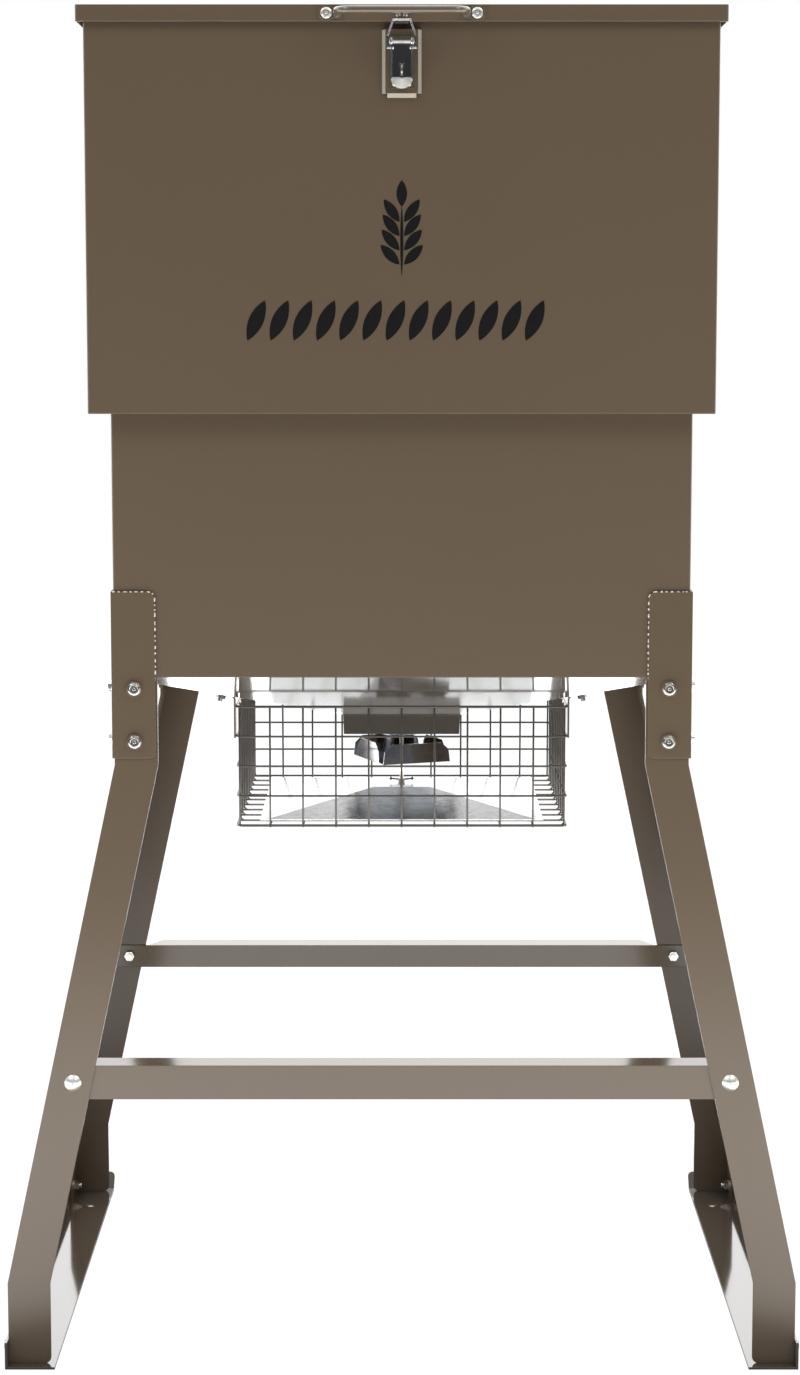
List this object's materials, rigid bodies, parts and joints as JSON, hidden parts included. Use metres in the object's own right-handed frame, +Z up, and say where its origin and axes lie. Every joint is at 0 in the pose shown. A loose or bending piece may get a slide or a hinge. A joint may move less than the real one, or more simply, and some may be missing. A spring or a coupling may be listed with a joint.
{
  "type": "spin cast feeder",
  "caption": "Stand-and-fill grain feeder: two-step sheet hopper with hinged latched lid on a bolted leg stand, funnel outlet with motor spinner inside a wire cage, timer box behind.",
  "frame": {"origin": "on the floor, at the centre of the four anchor holes", "axes": "+Z up, -Y towards the front with the lid latch, +X to the viewer's right"},
  "size_m": [0.959, 0.8885, 1.598],
  "materials": {
    "painted_sheet": "semi-gloss umber tan powder coat",
    "zinc_steel": "bright zinc plate",
    "galvanised": "galvanised, lightly spangled",
    "dark_steel": "dark motor steel",
    "bronze": "sintered bronze",
    "black_plastic": "fine matt moulded plastic",
    "red_plastic": "smooth moulded plastic",
    "circuit_board": "solder mask",
    "rubber": "matt rubber"
  },
  "bodies": {
    "stand": {"upper_hopper": "painted_sheet", "lower_hopper": "painted_sheet", "funnel": "painted_sheet", "tank_hinge_leaf": "zinc_steel", "lid_hinge_pin": "zinc_steel", "tank_rivets": "zinc_steel", "latch_standoff": "painted_sheet", "latch_base": "zinc_steel", "latch_rivets": "zinc_steel", "latch_pivot_pin": "zinc_steel", "corner_brackets": "painted_sheet", "leg_front_left": "painted_sheet", "leg_front_right": "painted_sheet", "leg_rear_left": "painted_sheet", "leg_rear_right": "painted_sheet", "hex_bolts": "zinc_steel", "frame_nuts": "zinc_steel", "front_brace": "painted_sheet", "rear_brace": "painted_sheet", "brace_bolts": "zinc_steel", "foot_rail_left": "painted_sheet", "foot_rail_right": "painted_sheet", "varmint_cage": "painted_sheet", "cage_bolts": "zinc_steel", "deflector": "galvanised", "deflector_stud": "zinc_steel", "wing_nut": "zinc_steel", "motor_housing": "galvanised", "motor_cap": "galvanised", "motor_bracket": "galvanised", "motor_can": "dark_steel", "motor_bushings": "bronze", "motor_magnets": "dark_steel", "control_box": "painted_sheet", "box_hinge_leaf": "zinc_steel", "box_hinge_pin": "zinc_steel", "battery": "black_plastic", "timer_case": "black_plastic", "timer_board": "circuit_board", "motor_cable": "rubber", "cable_gland": "rubber"},
    "lid": {"lid": "painted_sheet", "lid_handle": "painted_sheet", "handle_bolts": "zinc_steel", "handle_nuts": "zinc_steel", "lid_catch": "painted_sheet", "lid_hinge_leaf": "zinc_steel", "hinge_rivets_lid": "zinc_steel"},
    "latch_lever": {"latch_lever": "zinc_steel"},
    "latch_bail": {"latch_bail": "zinc_steel"},
    "spinner": {"motor_rotor": "dark_steel", "motor_shaft": "zinc_steel", "spinner_plate": "galvanised", "spinner_hub": "bronze"},
    "control_door": {"control_door": "painted_sheet", "door_hinge_leaf": "zinc_steel"},
    "door_cam": {"door_cam": "zinc_steel"},
    "button_left": {"button_left": "red_plastic"},
    "button_middle": {"button_middle": "red_plastic"},
    "button_right": {"button_right": "red_plastic"}
  },
  "joints": [
    {"name": "lid_hinge", "type": "hinge", "parent": "stand", "child": "lid", "pos_m": [0, 0.393, 1.573], "axis": [-1, 0, 0], "range_deg": [0, 110]},
    {"name": "lever_pivot", "type": "hinge", "parent": "stand", "child": "latch_lever", "pos_m": [0, -0.396, 1.5565], "axis": [-1, 0, 0], "range_deg": [0, 115]},
    {"name": "bail_pivot", "type": "hinge", "parent": "latch_lever", "child": "latch_bail", "pos_m": [0, -0.396, 1.5495], "axis": [-1, 0, 0], "range_deg": [-126.5, 0]},
    {"name": "spinner_spin", "type": "hinge", "parent": "stand", "child": "spinner", "pos_m": [0, 0, 0.72], "axis": [0, 0, 1], "continuous": true},
    {"name": "door_hinge", "type": "hinge", "parent": "stand", "child": "control_door", "pos_m": [-0.1011, 0.429, 0.986], "axis": [0, 0, 1], "range_deg": [0, 120]},
    {"name": "cam_turn", "type": "hinge", "parent": "control_door", "child": "door_cam", "pos_m": [0.075, 0.442, 0.986], "axis": [0, -1, 0], "range_deg": [0, 90]},
    {"name": "button_left_press", "type": "slide", "parent": "stand", "child": "button_left", "axis": [0, -1, 0], "range_m": [0, 0.0012]},
    {"name": "button_middle_press", "type": "slide", "parent": "stand", "child": "button_middle", "axis": [0, -1, 0], "range_m": [0, 0.0012]},
    {"name": "button_right_press", "type": "slide", "parent": "stand", "child": "button_right", "axis": [0, -1, 0], "range_m": [0, 0.0012]}
  ],
  "couplings": [
    {"joint": "bail_pivot", "follows": "lever_pivot", "ratio": -1.1}
  ]
}
